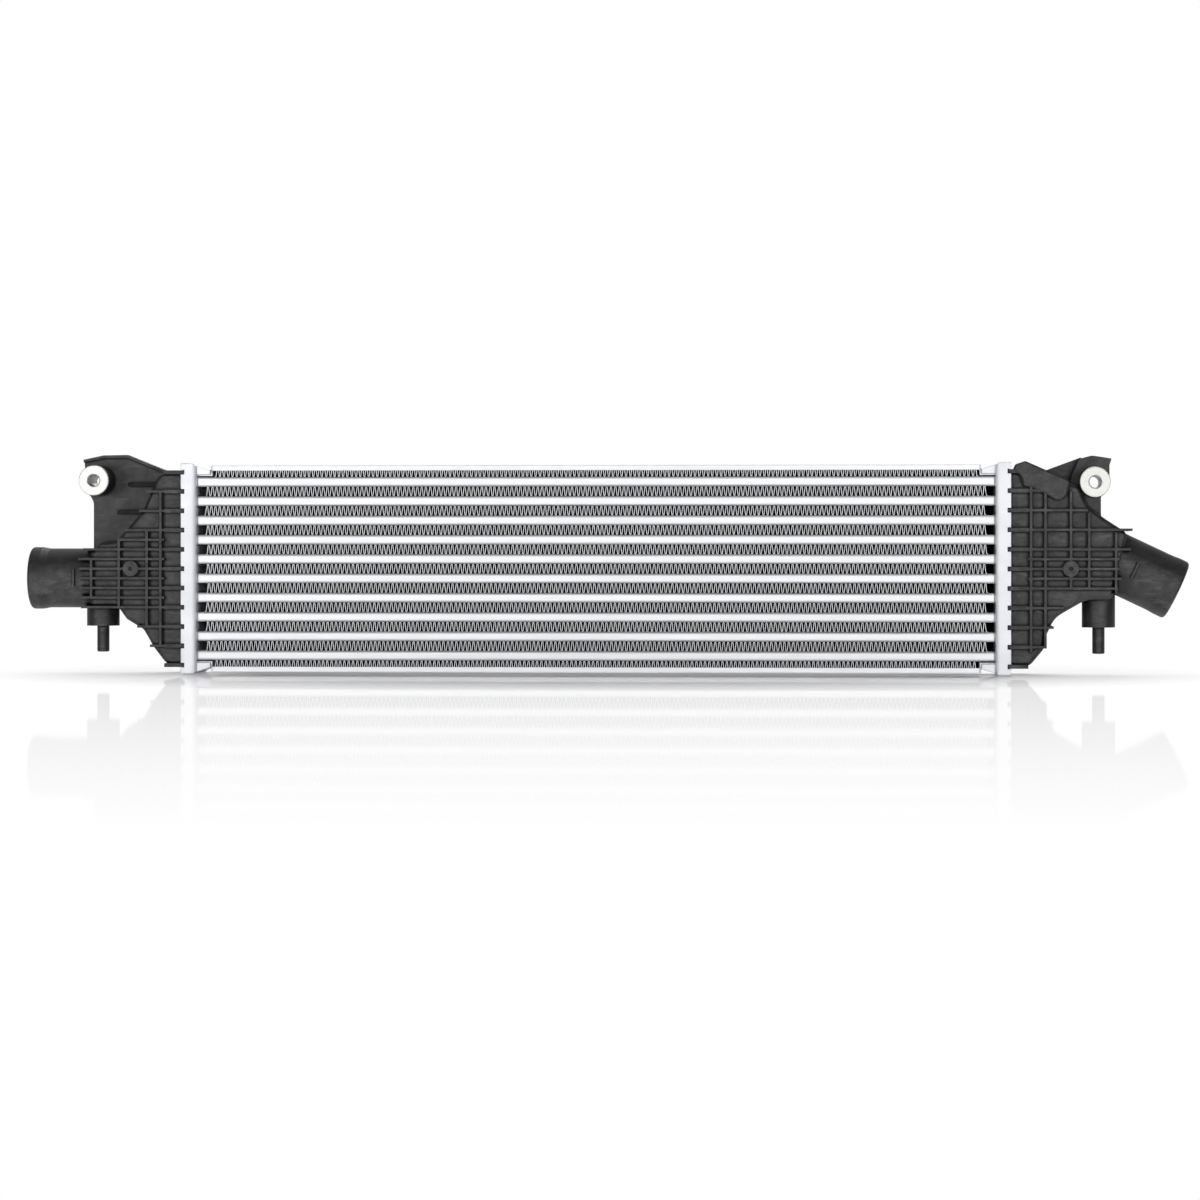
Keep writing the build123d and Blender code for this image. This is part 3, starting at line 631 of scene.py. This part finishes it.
def make_floor():
    """Pale floor that keeps the part's shadow, turns to plain white further out and mirrors
    the part faintly at a grazing view."""
    corners = np.array([(-1, -1, 0), (1, -1, 0), (1, 1, 0), (-1, 1, 0)]) * floor_reach
    floor = solid("floor", corners, np.array([(0, 1, 2, 3)]))
    tree, shader = new_material("floor")
    place = tree.place()
    speckle = tree.noise(place, 90.0)
    tree.put(shader["Base Color"], tree.blend(speckle, (0.93, 0.93, 0.935, 1), (0.97, 0.97, 0.975, 1)))
    shader["Roughness"].default_value = 0.7
    shader["Specular IOR Level"].default_value = 0.1
    path = tree.add("ShaderNodeLightPath").outputs
    seen = tree.math("MAXIMUM", path["Is Camera Ray"], path["Is Glossy Ray"])
    seen = tree.math("MAXIMUM", seen, path["Is Transmission Ray"])
    squeezed = tree.length(tree.stretch(place, floor_squeeze))
    far = tree.math("MULTIPLY", tree.span(squeezed, *floor_white), seen)
    matt = tree.nodes["Principled BSDF"]
    white = tree.add("ShaderNodeEmission", {"Color": (1, 1, 1, 1), "Strength": 1.0})
    mixed = tree.add("ShaderNodeMixShader", {0: far, 1: matt.outputs[0], 2: white.outputs[0]})
    polish = tree.add("ShaderNodeBsdfGlossy", {"Color": (1, 1, 1, 1), "Roughness": 0.03})
    grazing = tree.add("ShaderNodeLayerWeight", {"Blend": 0.5}).outputs["Facing"]
    near = tree.span(tree.length(place), *floor_shine_reach, floor_shine, 0.0)
    shine = tree.math("MULTIPLY", near, tree.span(grazing, 0.70, 0.90))
    polished = tree.add("ShaderNodeMixShader", {0: shine, 1: mixed.outputs[0], 2: polish.outputs[0]})
    tree.put(tree.nodes["Material Output"].inputs["Surface"], polished.outputs[0])
    floor.data.materials.append(material["floor"])


def make_world():
    """Soft light from all round, which the camera and shiny surfaces see as plain white."""
    world = bpy.data.worlds.new("studio")
    bpy.context.scene.world = world
    world.use_nodes = True
    tree = Tree(world.node_tree)
    path = tree.add("ShaderNodeLightPath").outputs
    way = tree.add("ShaderNodeTexCoord").outputs["Generated"]
    backdrop = tree.span(tree.axis(way, "Y"), -0.1, 0.5, room_shine, 1.0)
    ceiling = tree.span(tree.axis(way, "Z"), 0.15, 0.75, 1.0, room_shine)
    mirrored = tree.math("MULTIPLY", tree.math("MINIMUM", backdrop, ceiling), path["Is Glossy Ray"])
    seen = tree.math("MAXIMUM", path["Is Camera Ray"], path["Is Transmission Ray"])
    seen = tree.math("MAXIMUM", seen, mirrored)
    strength = tree.math("MAXIMUM", seen, world_light)
    background = tree.nodes["Background"]
    background.inputs["Color"].default_value = (1, 1, 1, 1)
    tree.put(background.inputs["Strength"], strength)


def make_lamp(name, place, size, power):
    """Square soft lamp that points at the middle of the part."""
    lamp = bpy.data.lights.new(name, "AREA")
    lamp.energy = power
    lamp.size = size
    stand = bpy.data.objects.new(name, lamp)
    stand.location = place
    aim = Vector(lamp_aim) - stand.location
    stand.rotation_euler = aim.to_track_quat("-Z", "Y").to_euler()
    bpy.context.scene.collection.objects.link(stand)


def make_camera():
    """Camera at the photograph's angle, shifted only as far as its framing needs."""
    camera = bpy.data.cameras.new("camera")
    camera.sensor_width = sensor_width_mm
    camera.lens = camera_focal_px / photo_side_px * sensor_width_mm
    camera.shift_x = 0.5 - photo_aim_px[0] / photo_side_px
    camera.shift_y = photo_aim_px[1] / photo_side_px - 0.5
    stand = bpy.data.objects.new("camera", camera)
    back = Vector((math.sin(camera_turn), -math.cos(camera_turn), 0))
    stand.location = Vector((camera_aim_x, 0, camera_height)) + back * camera_distance
    stand.rotation_euler = (-back).to_track_quat("-Z", "Y").to_euler()
    bpy.context.scene.collection.objects.link(stand)
    bpy.context.scene.camera = stand


material = {}
make_wear_and_painted_light_edge()
make_painted_corner_shade()
make_clouded_grain()
make_brazed_aluminium()
make_fin_aluminium()
make_tank_nylon()
make_rubber("bush_rubber", (0.006, 0.006, 0.0065), 0.66)
# Black rubber, tinted blue-black as painted shade to match the dark gaps beside the headers.
make_rubber("seal_rubber", (0.0025, 0.0025, 0.005), 0.75)
make_zinc_steel()

for part in frame["record"]["subparts"]:
    node = frame["nodes"][part["node"]]
    node.data.materials.clear()
    node.data.materials.append(material[part["material_slot"]])

make_fins()
make_braze_fillets(-1)
make_braze_fillets(1)
make_sleeve("left")
make_sleeve("right")
make_bush("left", left_eye_front)
make_bush("right", right_eye_front)

make_floor()
make_world()
for lamp_name, (lamp_place, lamp_size, lamp_power) in lamps.items():
    make_lamp(lamp_name, lamp_place, lamp_size, lamp_power)
make_camera()
bpy.context.scene.view_settings.view_transform = "Standard"
